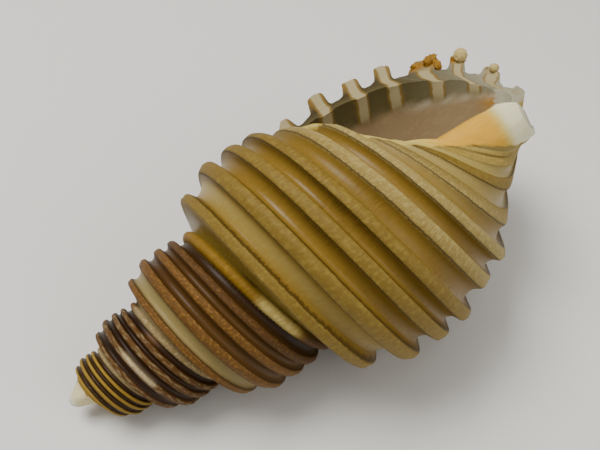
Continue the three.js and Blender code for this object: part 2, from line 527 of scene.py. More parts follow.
    def lump(self, name: str, place: float, beyond: float, sizes: Triple,
             tilt: float, skin: Skin) -> bpy.types.Object:
        """A small knob or torn flake on the lip's rim.

        Args:
            name: The object's name.
            place: Where it sits along the rim, counted in ribs.
            beyond: How many degrees past the rim its middle is.
            sizes: Its half sizes along the rim, out from the rim and through the wall, in mm.
            tilt: How far it leans along the rim, in degrees.
            skin: What kind of surface it has.

        Returns:
            A closed object.
        """
        piece = primitive(name, bpy.ops.mesh.primitive_ico_sphere_add, subdivisions=3, radius=1)
        ball = coordinates(piece).astype(float)
        torn = 0.5 if skin is Skin.SHRED else 0.25
        rough = np.array([noise.noise(Vector(p) * 2.9 + Vector((place, 0, 0))) for p in ball])
        ball = ball * (1 + torn * rough[:, None]) * np.array(sizes)
        c, s = math.cos(math.radians(tilt)), math.sin(math.radians(tilt))
        ball[:, :2] = ball[:, :2] @ np.array([[c, s], [-s, c]])
        degrees = self.outline.lip(place, 1.0) + beyond
        ends = np.array((*self.outline.crests, self.outline.wall[0]))
        at = np.array([np.interp(place, range(len(ends)), ends[:, k]) for k in (0, 1)])
        inward = at * np.array([0.965, 1.0])
        middle, ahead, under = (
            self.on_spiral(inward, degrees), self.on_spiral(inward, degrees + 1),
            self.on_spiral(at * np.array([0.9, 1.0]), degrees),
        )
        out = (ahead - middle) / np.linalg.norm(ahead - middle)
        through = (under - middle) / np.linalg.norm(under - middle)
        along = np.cross(out, through)
        laid = self.to_floor(middle + ball @ np.stack([along, out, through]))
        move_vertices(piece, laid)
        flat = np.full(len(laid), place)
        self.marks.add(laid, skin, flat * 0 + degrees, flat, flat * 0)
        return piece

    def on_spiral(self, at: np.ndarray, degrees: float) -> np.ndarray:
        """A point of the last whorl in the shell's own frame, with the rim's own shift."""
        own = self.growth.carry(np.array([at[0]]), np.array([at[1]]), np.array([degrees]))[0]
        place = self.outline.nearest_place(np.array([at[0]]), np.array([at[1]]))
        spread = np.interp(place, self.spread_places, self.spread_mm)[0]
        own[2] += float(spread * ease(degrees, *self.spread_degrees))
        return own

    def keep_inside(self, piece: bpy.types.Object, box: Sequence[Sequence[float]]) -> None:
        """Holds every vertex inside a box."""
        low, high = np.array(box[0]), np.array(box[1])
        move_vertices(piece, np.clip(coordinates(piece), low, high))

    def tube(self, name: str, rows: OutlineRows, low: float, high: float, to_lip: bool,
             skin: Skin = Skin.OUTSIDE) -> bpy.types.Object:
        """Grows a closed outline from one angle to another.

        Args:
            name: The object's name.
            rows: The outline.
            low: The growth angle where it starts.
            high: The growth angle where it ends.
            to_lip: Whether each point ends at its own lip angle instead.
            skin: What kind of surface it makes.

        Returns:
            A closed object.
        """
        count = len(rows.out)
        steps = max(2, round((high - low) / self.step_degrees))
        piece = primitive(
            name, bpy.ops.mesh.primitive_grid_add,
            x_subdivisions=count, y_subdivisions=steps, size=1,
        )
        grid = coordinates(piece)
        i = np.rint((grid[:, 0] + 0.5) * count).astype(int) % count
        j = np.rint((grid[:, 1] + 0.5) * steps).astype(int)
        end = rows.lip[i] if to_lip or skin is not Skin.OUTSIDE else high
        degrees = np.where(j == steps, end, low + (end - low) * j / steps)
        place, relief = rows.place[i], rows.relief[i]
        depth = rows.depth[i]
        if skin is Skin.OUTSIDE:
            covered = self.callus_cover(degrees, place)
            depth = depth * (1 - covered) + self.callus_level * rows.full_depth[i] * covered
            uneven = self.unevenness(degrees, place) * (rows.full_depth[i] > 0)
            depth = depth + uneven * (1 - self.channel_calm * relief)
        elif skin is Skin.CHAMBER:
            depth = self.post_height(degrees, place) * rows.full_depth[i]
        own = self.growth.carry(
            rows.out[i] - rows.normal_out[i] * depth,
            rows.along[i] - rows.normal_along[i] * depth,
            degrees,
        )
        spread = np.interp(place, self.spread_places, self.spread_mm)
        own[:, 2] += spread * ease(degrees, *self.spread_degrees)
        laid = self.to_floor(own)
        move_vertices(piece, laid)
        on_skin = place < self.skin_end
        self.marks.add(laid[on_skin], skin, degrees[on_skin], place[on_skin], relief[on_skin])
        self.close(piece)
        return piece

    def lip_at(self, place: np.ndarray) -> np.ndarray:
        """The growth angle of the lip at each place."""
        return np.interp(place, range(len(self.outline.lip_degrees)), self.outline.lip_degrees)

    def callus_cover(self, degrees: np.ndarray, place: np.ndarray) -> np.ndarray:
        """How far the inner lip's callus covers the whorl before, from 0 to 1."""
        edge = np.interp(place, self.callus_places, self.callus_degrees)
        near = degrees > self.callus_from
        return np.where(near, 1 - ease(degrees - edge, -self.callus_fade, self.callus_fade), 0.0)

    def unevenness(self, degrees: np.ndarray, place: np.ndarray) -> np.ndarray:
        """Small swellings and growth marks, in millimetres, the same every time."""
        made = np.empty(len(degrees))
        for n, (d, p) in enumerate(zip(degrees, place)):
            broad = noise.noise(Vector((d / 26, p * 0.8, 3.1)))
            fine = noise.noise(Vector((d / 5.5, p * 0.5, 7.7)))
            made[n] = self.swelling_mm * broad + self.growth_mark_mm * fine
        return np.maximum(made + self.worn_mm, 0)

    def post_height(self, degrees: np.ndarray, place: np.ndarray) -> np.ndarray:
        """How far the chamber's wall stands in behind each rib near the lip."""
        off = np.abs(place - np.rint(place))
        near_lip = ease(degrees - self.lip_at(place), *self.post_behind_lip)
        return (1 - ease(off, *self.post_half_width)) * near_lip * (degrees < self.past_lip)

    def hollow(self, name: str, loop: Loop, turn: Pair, skin: Skin) -> bpy.types.Object:
        """A closed tube for a hollow, from its smooth outline.

        Args:
            name: The object's name.
            loop: The hollow's outline.
            turn: The growth angles where it starts and ends.
            skin: What kind of surface it leaves.

        Returns:
            A closed object.
        """
        smooth = rounded(loop, self.hollow_parts)
        out, along = smooth.T
        after = np.roll(smooth, -1, 0) - np.roll(smooth, 1, 0)
        length = np.hypot(*after.T)
        normal_out, normal_along = after[:, 1] / length, -after[:, 0] / length
        crests = np.array((*self.outline.crests, self.outline.wall[0]))
        place = np.interp(along, crests[:, 1], range(len(crests)))
        on_wall = (normal_out > self.outer_wall_normal) & (out > self.outer_wall_out)
        zero = np.zeros(len(smooth))
        rows = OutlineRows(
            out, along, normal_out, normal_along, zero, place, zero, zero + turn[1],
            on_wall * self.post_depth,
        )
        return self.tube(name, rows, turn[0], turn[1], False, skin)

    def close(self, piece: bpy.types.Object) -> None:
        """Joins the seam of a bent grid, fills its two ends and turns its faces outward."""
        in_edit(piece)
        bpy.ops.mesh.remove_doubles(threshold=1e-8)
        bpy.ops.mesh.fill_holes(sides=0)
        bpy.ops.mesh.select_all(action="SELECT")
        bpy.ops.mesh.quads_convert_to_tris()
        bpy.ops.mesh.normals_make_consistent(inside=False)
        finish_edit()

    def to_floor(self, own: np.ndarray) -> np.ndarray:
        """Lays points of the shell's own frame down in the shared frame."""
        m = np.array(self.growth.laid())
        return own @ m[:3, :3].T + m[:3, 3]

    def own_height(self, laid: np.ndarray) -> np.ndarray:
        """How far points of the shared frame lie along the shell's own axis, in millimetres."""
        m = np.linalg.inv(np.array(self.growth.laid()))
        return laid @ m[2, :3] + m[2, 3]

    def nub(self) -> bpy.types.Object:
        """The worn apex, a blunt cone set a little to one side."""
        piece = primitive(
            "apex", bpy.ops.mesh.primitive_grid_add,
            x_subdivisions=self.apex_sides, y_subdivisions=len(self.apex) - 1, size=1,
        )
        grid = coordinates(piece)
        turn = (grid[:, 0] + 0.5) * 2 * np.pi
        row = np.rint((grid[:, 1] + 0.5) * (len(self.apex) - 1)).astype(int)
        profile = np.array(self.apex)
        side = math.radians(self.apex_side)
        r, z = profile[row, 0], profile[row, 1]
        facets = np.array([
            noise.noise(Vector((
                math.cos(t) * self.facet_turn, math.sin(t) * self.facet_turn, h * self.facet_rise,
            )))
            for t, h in zip(turn, z)
        ])
        r = r * (1 + self.facet_depth * facets)
        own = np.stack(
            [
                r * np.cos(turn) + self.apex_shift * math.cos(side),
                r * np.sin(turn) + self.apex_shift * math.sin(side),
                z,
            ],
            -1,
        )
        laid = self.to_floor(own)
        move_vertices(piece, laid)
        self.marks.add(laid, Skin.APEX, np.degrees(turn) + self.apex_degrees, z, np.zeros(len(laid)))
        self.close(piece)
        return piece

    def plug(self) -> bpy.types.Object:
        """The solid core on the axis."""
        piece = primitive(
            "core", bpy.ops.mesh.primitive_cylinder_add,
            vertices=self.plug_sides, radius=self.plug_radius, depth=self.plug_length,
        )
        own = coordinates(piece) + np.array([0, 0, self.plug_top + self.plug_length / 2])
        move_vertices(piece, self.to_floor(own))
        return piece

    def past_the_end(self) -> bpy.types.Object:
        """A block past the slanted plane that ends the canal."""
        piece = primitive("canal_end", bpy.ops.mesh.primitive_cube_add, size=1)
        block = np.array(self.canal_end_block)
        own = coordinates(piece) * block + np.array([0, 0, block[2] / 2])
        tilt = Matrix.Rotation(-math.atan(self.canal_end_slope), 3, "Y")
        turn = Matrix.Rotation(math.radians(self.canal_end_high), 3, "Z")
        own = own @ np.array(turn @ tilt).T + np.array([0, 0, self.canal_end])
        move_vertices(piece, self.to_floor(own))
        return piece

    def round_tip(self) -> bpy.types.Object:
        """A block with an egg-shaped hollow, which leaves the columella's tip round."""
        egg = primitive(
            "tip_egg", bpy.ops.mesh.primitive_uv_sphere_add,
            segments=96, ring_count=64, radius=1,
        )
        move_vertices(egg, coordinates(egg) * np.array(self.tip_egg))
        piece = primitive("tip_block", bpy.ops.mesh.primitive_cube_add, size=1)
        low, high = np.array(self.tip_block)
        move_vertices(piece, (coordinates(piece) + 0.5) * (high - low) + low)
        cut_or_join(piece, egg, "DIFFERENCE")
        along, over_tip = Vector(self.tip_along).normalized(), Vector(self.tip_up).normalized()
        frame = np.array((along, over_tip, along.cross(over_tip)))
        move_vertices(piece, (coordinates(piece) @ frame + np.array(self.tip_middle)) * MM)
        return piece

    def below_the_floor(self) -> bpy.types.Object:
        """A block below the floor, which leaves the worn flats that the shell rests on."""
        piece = primitive("floor_block", bpy.ops.mesh.primitive_cube_add, size=1)
        move_vertices(piece, (coordinates(piece) - np.array([0, 0, 0.5])) * self.floor_block * 2)
        return piece


@dataclass(frozen=True)
class ShellColours:
    """Colours of the shell, as seen on a screen, from the apex on to the last whorl."""

    turns: Sequence[float] = (-3.2, -2.6, -2.2, -1.9, -1.5, -1.1, -0.85, -0.5, -0.1, 0.3, 0.9)
    crest: Sequence[tuple[int, int, int]] = (
        (150, 124, 46), (138, 110, 38), (88, 60, 22), (86, 58, 22), (84, 55, 19),
        (96, 66, 24), (100, 70, 26), (100, 72, 28), (116, 95, 36), (124, 104, 44),
        (150, 130, 62),
    )
    channel: Sequence[tuple[int, int, int]] = (
        (54, 34, 10), (42, 25, 8), (36, 21, 9), (40, 23, 9), (54, 32, 10),
        (62, 39, 13), (72, 48, 18), (86, 60, 22), (112, 87, 28), (121, 94, 33),
        (126, 100, 40),
    )
    cord: tuple[int, int, int] = (130, 100, 24)
    cord_end: tuple[int, int, int] = (84, 56, 20)
    # the chipped patch on the shoulder's cord: a real pale chip, its brightness partly painted
    # highlight
    chipped_and_highlight: tuple[int, int, int] = (204, 186, 112)
    streak: tuple[int, int, int] = (196, 182, 146)
    # dark brown laid in the suture's groove and in the fasciole's fold bottoms: painted shade in
    # those creases
    groove_shade: tuple[int, int, int] = (66, 42, 12)
    dark: tuple[int, int, int] = (50, 31, 9)
    # the paler first channel of the whorl before the last, partly a painted highlight of its gloss
    pale_channel_and_highlight: tuple[int, int, int] = (136, 120, 72)
    # paler tone of the last whorl's first channel, partly a painted highlight of its gloss streak
    first_channel_and_highlight: tuple[int, int, int] = (152, 130, 68)
    canal_channel: tuple[int, int, int] = (164, 148, 90)
    last_band: tuple[int, int, int] = (66, 44, 20)
    worn: tuple[int, int, int] = (152, 136, 98)
    blotch: tuple[int, int, int] = (84, 56, 26)
    # paler, less saturated crests on the ribs near the lip, partly painted highlight
    bright_crest_and_highlight: tuple[int, int, int] = (164, 148, 92)
    fasciole: tuple[int, int, int] = (158, 138, 72)
    chamber: tuple[int, int, int] = (130, 108, 76)
    chamber_orange: tuple[int, int, int] = (152, 106, 36)
    band_edge: tuple[int, int, int] = (160, 152, 128)
    interspace: tuple[int, int, int] = (82, 72, 42)
    rim: tuple[int, int, int] = (62, 52, 28)
    post: tuple[int, int, int] = (156, 142, 104)
    post_edge: tuple[int, int, int] = (118, 92, 40)
    lip_white: tuple[int, int, int] = (150, 144, 120)
    knob: tuple[int, int, int] = (178, 158, 104)
    shred: tuple[int, int, int] = (150, 108, 34)
    callus: tuple[int, int, int] = (194, 172, 88)
    orange: tuple[int, int, int] = (200, 146, 34)
    tip: tuple[int, int, int] = (214, 208, 170)
    chalk: tuple[int, int, int] = (210, 200, 156)
    chalk_tip: tuple[int, int, int] = (212, 214, 200)
    chalk_tint: tuple[int, int, int] = (180, 146, 74)


def linear(rgb: Sequence[float] | np.ndarray) -> np.ndarray:
    """Screen colours, 0 to 255, as linear light."""
    c = np.asarray(rgb, float) / 255
    return np.where(c <= 0.04045, c / 12.92, ((c + 0.055) / 1.055) ** 2.4)


def over(under: np.ndarray, paint: np.ndarray, cover: np.ndarray) -> np.ndarray:
    """Lays one colour over another.

    Args:
        under: The colour below, or one for each point.
        paint: The colour on top, or one for each point.
        cover: How far it covers, 0 to 1, at each point.

    Returns:
        The mixed colour of each point.
    """
    share = np.asarray(cover, float)[..., None]
    return under * (1 - share) + paint * share


@dataclass(frozen=True)
class Stretch:
    """A stretch that fades in over one range, and may fade out again over another."""

    rise: Pair
    fall: Pair | None = None
    strength: float = 1.0

    def at(self, value: np.ndarray) -> np.ndarray:
        """How strong the stretch is at each value."""
        risen = ease(value, *self.rise) * self.strength
        return risen if self.fall is None else risen * (1 - ease(value, *self.fall))


@dataclass(frozen=True)
class Markings:
    """Where each marking is: growth angles in degrees, places in ribs, relief from 0 to 1."""

    whorl_turns: Triple = (-0.2, -1.2, -2.2)
    worn_turns: float = -2.3
    shoulder: float = -0.05
    band_relief: Pair = (0.1, 0.36)
    top_band_relief: Pair = (0.02, 0.2)
    flank: Stretch = Stretch((-0.34, -0.28))
    # the suture's groove, darkened as painted shade: where it lies, how strong on the older whorls
    # and on the first, and a darker patch of it on the first whorl near the seam (middle and width
    # in degrees, and added strength)
    groove_shade: Stretch = Stretch((-0.64, -0.56), (-0.4, -0.3))
    groove_strength: float = 0.9
    seam_strength: float = 0.1
    seam_shade: Triple = (55.0, 8.0, 0.7)
    seam_shade_place: float = -0.5
    cord: Pair = (-0.64, -0.54)
    cord_end: Pair = (98.0, 108.0)
    # where the chipped patch lies along the cord, in degrees; its colour is partly painted highlight
    chipped_and_highlight: Stretch = Stretch((62, 72), (94, 102), 0.85)
    # where those crests are paled: partly painted highlight
    bright_bands_and_highlight: Stretch = Stretch((3.4, 4.2), (5.6, 6.4), 0.75)
    # a pale streak down the middle of the first channel: partly painted highlight
    first_channel_and_highlight: Stretch = Stretch((0.2, 0.45), (0.55, 0.84), 0.85)
    towards_canal: Stretch = Stretch((4.8, 7), None, 0.55)
    last_band: Stretch = Stretch((2.6, 2.85), (3.2, 3.3), 0.6)
    dark: Stretch = Stretch((3.25, 3.4), (3.9, 4.2))
    # where that channel is paled: partly painted highlight
    pale_channel_and_highlight: Stretch = Stretch((0.2, 0.3), (0.75, 0.85), 0.85)
    ramp: Pair = (-0.3, -0.2)
    ramp_worn: Pair = (-372.0, -350.0)
    ramp_strength: float = 0.85
    blotch: Pair = (-676.0, 9.0)
    blotch_places: Stretch = Stretch((2.6, 3.0))
    fasciole: Stretch = Stretch((7.3, 7.9), None, 0.85)
    # how far the fasciole's fold bottoms are darkened, by relief: painted shade in the folds
    fold: Stretch = Stretch((0.36, 0.5), None, 0.6)
    fold_from: float = 8.0
    lined_places: Pair = (-0.1, 7.4)
    hatched: Pair = (52.0, 16.0)
    hatched_places: Pair = (1.5, 4.0)
    hatched_relief: Stretch = Stretch((0.02, 0.2))
    old_hatched: Stretch = Stretch((3.2, 3.4), None, 0.7)
    old_hatched_to: float = 4.2
    golden: Triple = (1.0, 0.5, 0.6)
    streak: Stretch = Stretch((-684, -676), (-642, -634), 0.85)
    streak_place: Pair = (1.05, 0.16)
    pale_wear: Triple = (0.8, 0.1, 0.35)
    rim: Stretch = Stretch((-6, -4))
    rim_from: float = 200.0
    post: Stretch = Stretch((-16.5, -14))
    past_lip: float = 30.0
    post_places: Pair = (6.2, 7.0)
    columella: float = 385.0
    canal_wall: float = 320.0
    chalk: Stretch = Stretch((5.3, 6.6))
    chalk_tint: Stretch = Stretch((8.0, 9.8), None, 0.8)
    inner_orange: Stretch = Stretch((68.5, 72.5), (79, 81), 0.85)
    inner_tip: Stretch = Stretch((80, 82))
    rim_skin: Stretch = Stretch((0.3, 0.8))
    rim_white: Stretch = Stretch((2.6, 7.0), None, 0.85)
    skin_white: Stretch = Stretch((2.6, 6.2), None, 0.5)
    canal_white: Stretch = Stretch((5.6, 7.2), None, 0.75)
    hollow_orange: Stretch = Stretch((4.9, 5.6))
    hollow_orange_from_lip: Pair = (-18.0, 7.0)
    skin_edge: Stretch = Stretch((2.8, 3.6), None, 0.6)
    skin_edge_from_lip: Pair = (-16.5, 1.8)


@dataclass(frozen=True)
class Dullness:
    """What each kind of surface adds to the skin's roughness."""

    skin: float = 0.3
    band: float = 0.24
    chalk: float = 0.2
    rim: float = 0.3
    hollow: float = 0.25
    flank: float = 0.16
    callus: float = 0.14


@dataclass(frozen=True)
class Pattern:
    """Noise on the spiral coordinates: how they are stretched, its scale and its detail."""

    stretch: Triple
    size: float
    detail: float


@dataclass(frozen=True)
class Tint:
    """A tint of the painted colour, and the range of noise over which it comes on or goes.

    ramp gives the noise where it starts and ends, and how far it covers at each. A flat tint is a
    colour of its own.
    """

    by: Triple
    ramp: tuple[float, float, float, float]
    flat: bool = False


@dataclass(frozen=True)
class Nodes:
    """The nodes of one material."""

    tree: bpy.types.NodeTree

    def attribute(self, name: str) -> bpy.types.Node:
        """A node that reads one of the mesh's own attributes."""
        node = self.tree.nodes.new("ShaderNodeAttribute")
        node.attribute_name = name
        return node

    def parts(self, colour: Socket) -> list[Socket]:
        """The three parts of a colour."""
        split = self.tree.nodes.new("ShaderNodeSeparateColor")
        self.tree.links.new(colour, split.inputs[0])
        return list(split.outputs)

    def flat(self, colour: Triple) -> Socket:
        """One colour everywhere."""
        node = self.tree.nodes.new("ShaderNodeRGB")
        node.outputs[0].default_value = (*colour, 1)
        return node.outputs[0]

    def maths(self, how: str, a: Socket, b: Socket | float = 0.0) -> Socket:
        """Joins two values, or a value and a number, with one operation.

        Args:
            how: The operation's name.
            a: The first value.
            b: The second value, where the operation has one.

        Returns:
            The result.
        """
        node = self.tree.nodes.new("ShaderNodeMath")
        node.operation = how
        self.tree.links.new(a, node.inputs[0])
        if isinstance(b, float):
            node.inputs[1].default_value = b
        else:
            self.tree.links.new(b, node.inputs[1])
        return node.outputs[0]

    def times(self, a: Socket, b: Socket) -> Socket:
        """One value times another."""
        return self.maths("MULTIPLY", a, b)

    def plus(self, a: Socket, b: Socket) -> Socket:
        """One value and another."""
        return self.maths("ADD", a, b)

    def tinted(self, colour: Socket, by: Triple) -> Socket:
        """A colour times a fixed tint."""
        node = self.tree.nodes.new("ShaderNodeVectorMath")
        node.operation = "MULTIPLY"
        node.inputs[1].default_value = by
        self.tree.links.new(colour, node.inputs[0])
        return node.outputs[0]

    def blend(self, under: Socket, paint: Socket, cover: Socket) -> Socket:
        """Lays one colour over another as far as a value says."""
        node = self.tree.nodes.new("ShaderNodeMix")
        node.data_type = "RGBA"
        self.tree.links.new(cover, node.inputs[0])
        self.tree.links.new(under, node.inputs[6])
        self.tree.links.new(paint, node.inputs[7])
        return node.outputs[2]

    def noise(self, vector: Socket, pattern: Pattern) -> Socket:
        """Noise on stretched coordinates, about 0 to 1."""
        made = self.tree.nodes.new("ShaderNodeTexNoise")
        made.inputs["Scale"].default_value = pattern.size
        made.inputs["Detail"].default_value = pattern.detail
        self.tree.links.new(self.tinted(vector, pattern.stretch), made.inputs["Vector"])
        return made.outputs["Fac"]

    def spread(self, value: Socket, low: float, high: float, to_low: float,
               to_high: float) -> Socket:
        """Maps one range of a value onto another, and holds it there."""
        node = self.tree.nodes.new("ShaderNodeMapRange")
        node.inputs["From Min"].default_value = low
        node.inputs["From Max"].default_value = high
        node.inputs["To Min"].default_value = to_low
        node.inputs["To Max"].default_value = to_high
        self.tree.links.new(value, node.inputs["Value"])
        return node.outputs["Result"]


@dataclass(frozen=True)
class ShellFinish:
    """Paints the shell and builds its material."""

    colours: ShellColours = field(default_factory=ShellColours)
    markings: Markings = field(default_factory=Markings)
    dullness: Dullness = field(default_factory=Dullness)
    name: str = "shell"
    lines: Pattern = Pattern((30, 0.9, 1), 2.0, 4)
    hairs: Pattern = Pattern((110, 1.6, 1), 2.0, 2)
    cloud: Pattern = Pattern((20, 4, 1), 1.6, 4)
    speck: Pattern = Pattern((46, 26, 1), 1.5, 2)
    wobble: Pattern = Pattern((26, 1.5, 1), 2.0, 3)
    patches: Pattern = Pattern((5, 4, 1), 1.5, 5)
    post_wobble: Pattern = Pattern((9, 1, 1), 1.5, 2)
    speckle: Tint = Tint((0.7, 0.5, 0.3), (0.48, 0.6, 0, 0.8))
    gilding: Tint = Tint((2.4, 2.5, 2.3), (0.5, 0.64, 0, 0.6))
    clouding: Tint = Tint((0.84, 0.68, 0.4), (0.46, 0.58, 0.5, 0))
    pale_lines: Tint = Tint((1.32, 1.34, 1.5), (0.5, 0.7, 0, 0.5))
    dark_lines: Tint = Tint((0.62, 0.52, 0.4), (0.46, 0.62, 0, 0.45))
    worn_skin: Tint = Tint((0.27, 0.21, 0.1), (0.5, 0.62, 0, 0.7), True)
    hatching: Tint = Tint((0.3, 0.27, 0.27), (0.44, 0.6, 0, 0.5))
    # the tint of the thin dark line at each band's edge: painted shade in the crease
    edge_shade_line: Triple = (0.3, 0.26, 0.24)
    edge_line_rise: tuple[float, float, float, float] = (0.2, 0.212, 0, 0.9)
    edge_line_fall: tuple[float, float, float, float] = (0.23, 0.25, 1, 0)
    edge_line_reach: float = 0.012
    post_reach: float = 0.02
    post_side: tuple[float, float, float, float] = (0.17, 0.23, 0.9, 0)
    post_middle: tuple[float, float, float, float] = (0.11, 0.16, 0.95, 0)
    relief_strength: float = 0.5
    relief_metres: float = 0.00016
    growth_relief: float = 0.45
    specular: float = 0.16

    def by_turn(self, table: Sequence[tuple[int, int, int]], turns: np.ndarray) -> np.ndarray:
        """Reads a colour table at each growth turn, as linear colours."""
        values = linear(table)
        return np.stack([np.interp(turns, self.colours.turns, values[:, k]) for k in range(3)], 1)

    def paint(self, piece: bpy.types.Object, shell: WhelkShell) -> None:
        """Writes the painted colour and the spiral coordinates onto the mesh.

        Args:
            piece: The shell's object.
            shell: The shell that the marks belong to.
        """
        c, m, dull = self.colours, self.markings, self.dullness
        kind, degrees, place, relief = shell.marks.read(coordinates(piece)).T
        outside, apex = kind == Skin.OUTSIDE.value, kind == Skin.APEX.value
        chamber, canal = kind == Skin.CHAMBER.value, kind == Skin.CANAL.value
        hollow, lump = chamber | canal, kind > Skin.APEX.value
        colour, band, line, wear = self.outside(degrees, place, relief)
        callus = shell.callus_cover(degrees, place) * outside
        inner_lip = self.callus(shell.own_height(coordinates(piece)))
        colour = over(colour, inner_lip, callus)
        from_lip = degrees - shell.lip_at(place)
        near_lip = outside * m.rim.at(from_lip) * (degrees > m.rim_from)
        last = m.post.at(from_lip) * (from_lip < m.past_lip) * chamber
        posts = np.maximum(last, near_lip) * (1 - ease(place, *m.post_places))
        chalk = over(linear(c.chalk_tip), linear(c.chalk), m.chalk.at(place))
        for paint, cover in (
            (self.lip_edge(place, relief), near_lip),
            (self.hollow(from_lip, place), hollow),
            (inner_lip, hollow & (degrees > m.columella)),
            (inner_lip, canal & (degrees > m.canal_wall)),
            (linear(c.lip_white), canal & (degrees <= m.canal_wall)),
            (over(chalk, linear(c.chalk_tint), m.chalk_tint.at(place)), apex),
            (linear(c.knob), kind == Skin.KNOB.value),
            (linear(c.shred), kind == Skin.SHRED.value),
        ):
            colour = over(colour, paint, cover)
        plain = outside * (1 - np.maximum(callus, near_lip))
        flank = 4 * relief * (1 - relief) * plain
        gloss = (
            dull.skin + dull.band * band * plain + dull.chalk * (apex | lump)
            + dull.rim * near_lip + dull.hollow * hollow + dull.flank * flank
            + dull.callus * callus
        )
        wear = wear * plain[:, None]
        wear[:, 1] += 0.5 * (apex | lump)
        ones = np.ones((len(colour), 1))
        marks = np.stack([band * plain, line * plain, gloss, plain], 1)
        spiral = np.stack([np.radians(degrees), place, kind], 1)
        self.store(piece, "painted", "FLOAT_COLOR", np.concatenate([colour, ones], 1))
        self.store(piece, "marks", "FLOAT_COLOR", marks)
        self.store(piece, "posts", "FLOAT", posts)
        self.store(piece, "wear", "FLOAT_COLOR", np.concatenate([wear, ones], 1))
        self.store(piece, "spiral", "FLOAT_VECTOR", spiral)

    def outside(
        self, degrees: np.ndarray, place: np.ndarray, relief: np.ndarray
    ) -> tuple[np.ndarray, np.ndarray, np.ndarray, np.ndarray]:
        """The outer skin's colours.

        Args:
            degrees: Growth angles.
            place: Places along the outline, counted in ribs.
            relief: 0 on a crest, 1 at the bottom of a channel.

        Returns:
            The colour, how far each point is on a rib's band, where a band's edge line of painted
            shade shows, and the shares of dark hatching, golden mottles and pale wear.
        """
        c, m = self.colours, self.markings
        turns = degrees / 360
        first = turns > m.whorl_turns[0]
        second = (turns > m.whorl_turns[1]) & (turns < m.whorl_turns[0])
        third = (turns > m.whorl_turns[2]) & (turns < m.whorl_turns[1])
        top = turns < m.whorl_turns[2]
        band = 1 - np.where(top, ease(relief, *m.top_band_relief), ease(relief, *m.band_relief))
        channel = 1 - band
        shoulder = place < m.shoulder
        cord = shoulder * (1 - ease(place, *m.cord))
        cord_colour = over(linear(c.cord), linear(c.cord_end), ease(degrees, *m.cord_end))
        # painted shade in the suture's groove, weak on the first whorl except in the patch near the
        # seam
        middle, width, depth = m.seam_shade
        near_seam = place < m.seam_shade_place
        shading = m.seam_strength + depth * bump(degrees, middle, width) * near_seam
        groove_shade = shoulder * m.groove_shade.at(place) * np.where(first, shading, m.groove_strength)
        ramp = (shoulder & ~first) * (1 - ease(place, *m.ramp))
        worn = np.where(second, ease(degrees, *m.ramp_worn), 1.0)
        ramp_worn = ramp * worn * (turns > m.worn_turns)
        streak = third * bump(place, *m.streak_place) * m.streak.at(degrees)
        colour = over(self.by_turn(c.channel, turns), self.by_turn(c.crest, turns), band)
        for paint, cover in (
            # paler crests near the lip, partly painted highlight
            (linear(c.bright_crest_and_highlight), band * first * m.bright_bands_and_highlight.at(place)),
            (cord_colour, cord * first),
            # the chipped patch, partly painted highlight
            (linear(c.chipped_and_highlight), cord * m.chipped_and_highlight.at(degrees) * first),
            # painted shade in the suture's groove
            (linear(c.groove_shade), groove_shade),
            # the first channel's pale streak, partly painted highlight
            (linear(c.first_channel_and_highlight), first * m.first_channel_and_highlight.at(place) * channel),
            (linear(c.canal_channel), first * m.towards_canal.at(place) * channel),
            (linear(c.last_band), second * m.last_band.at(place)),
            (linear(c.dark), second * m.dark.at(place)),
            # the paler channel of the whorl before the last, partly painted highlight
            (linear(c.pale_channel_and_highlight), second * m.pale_channel_and_highlight.at(place) * channel),
            (linear(c.worn), ramp_worn * m.ramp_strength),
            (linear(c.blotch), third * bump(degrees, *m.blotch) * m.blotch_places.at(place)),
            (linear(c.fasciole), first * m.fasciole.at(place)),
            # painted shade in the fasciole's fold bottoms
            (linear(c.groove_shade), first * (place > m.fold_from) * m.fold.at(relief)),
            (linear(c.streak), streak),
        ):
            colour = over(colour, paint, cover)
        band = np.where(shoulder, np.maximum(cord, m.flank.at(place)), band)
        lined = (place > m.lined_places[0]) & (place < m.lined_places[1])
        line = (lined & (turns > m.whorl_turns[1])).astype(float)
        between = (place > m.hatched_places[0]) * (place < m.hatched_places[1])
        hatch = first * bump(degrees, *m.hatched) * between * m.hatched_relief.at(relief)
        old = second * m.old_hatched.at(place) * (place < m.old_hatched_to)
        on_second, on_first, elsewhere = m.golden
        golden = np.where(second, on_second, np.where(first, on_first, elsewhere)) * band
        on_third, on_top, on_ramp = m.pale_wear
        pale = np.clip(third * on_third * band + on_top * top + on_ramp * ramp_worn, 0, 1)
        return colour, band, line, np.stack([np.maximum(hatch, old), golden, pale], 1)

    def callus(self, height: np.ndarray) -> np.ndarray:
        """The inner lip's colour, orange along the columella and white at its tip."""
        c, m = self.colours, self.markings
        colour = over(linear(c.callus), linear(c.orange), m.inner_orange.at(height))
        return over(colour, linear(c.tip), m.inner_tip.at(height))

    def lip_edge(self, place: np.ndarray, relief: np.ndarray) -> np.ndarray:
        """The lip's rim: pale teeth, thin dull skin between them, whiter near the canal."""
        c, m = self.colours, self.markings
        colour = over(linear(c.rim), linear(c.post_edge), 1 - m.rim_skin.at(relief))
        return over(colour, linear(c.lip_white), m.rim_white.at(place))

    def hollow(self, from_lip: np.ndarray, place: np.ndarray) -> np.ndarray:
        """The inner wall, with a pale edge where the thin skin near the lip begins."""
        c, m = self.colours, self.markings
        skin = over(linear(c.interspace), linear(c.lip_white), m.skin_white.at(place))
        skin = over(skin, linear(c.lip_white), m.canal_white.at(place))
        orange = m.hollow_orange.at(place) * bump(from_lip, *m.hollow_orange_from_lip)
        deep = over(linear(c.chamber), linear(c.chamber_orange), orange)
        edge = bump(from_lip, *m.skin_edge_from_lip) * m.skin_edge.at(place)
        deep = over(deep, linear(c.band_edge), edge)
        return over(deep, skin, m.post.at(from_lip) * (from_lip < m.past_lip))

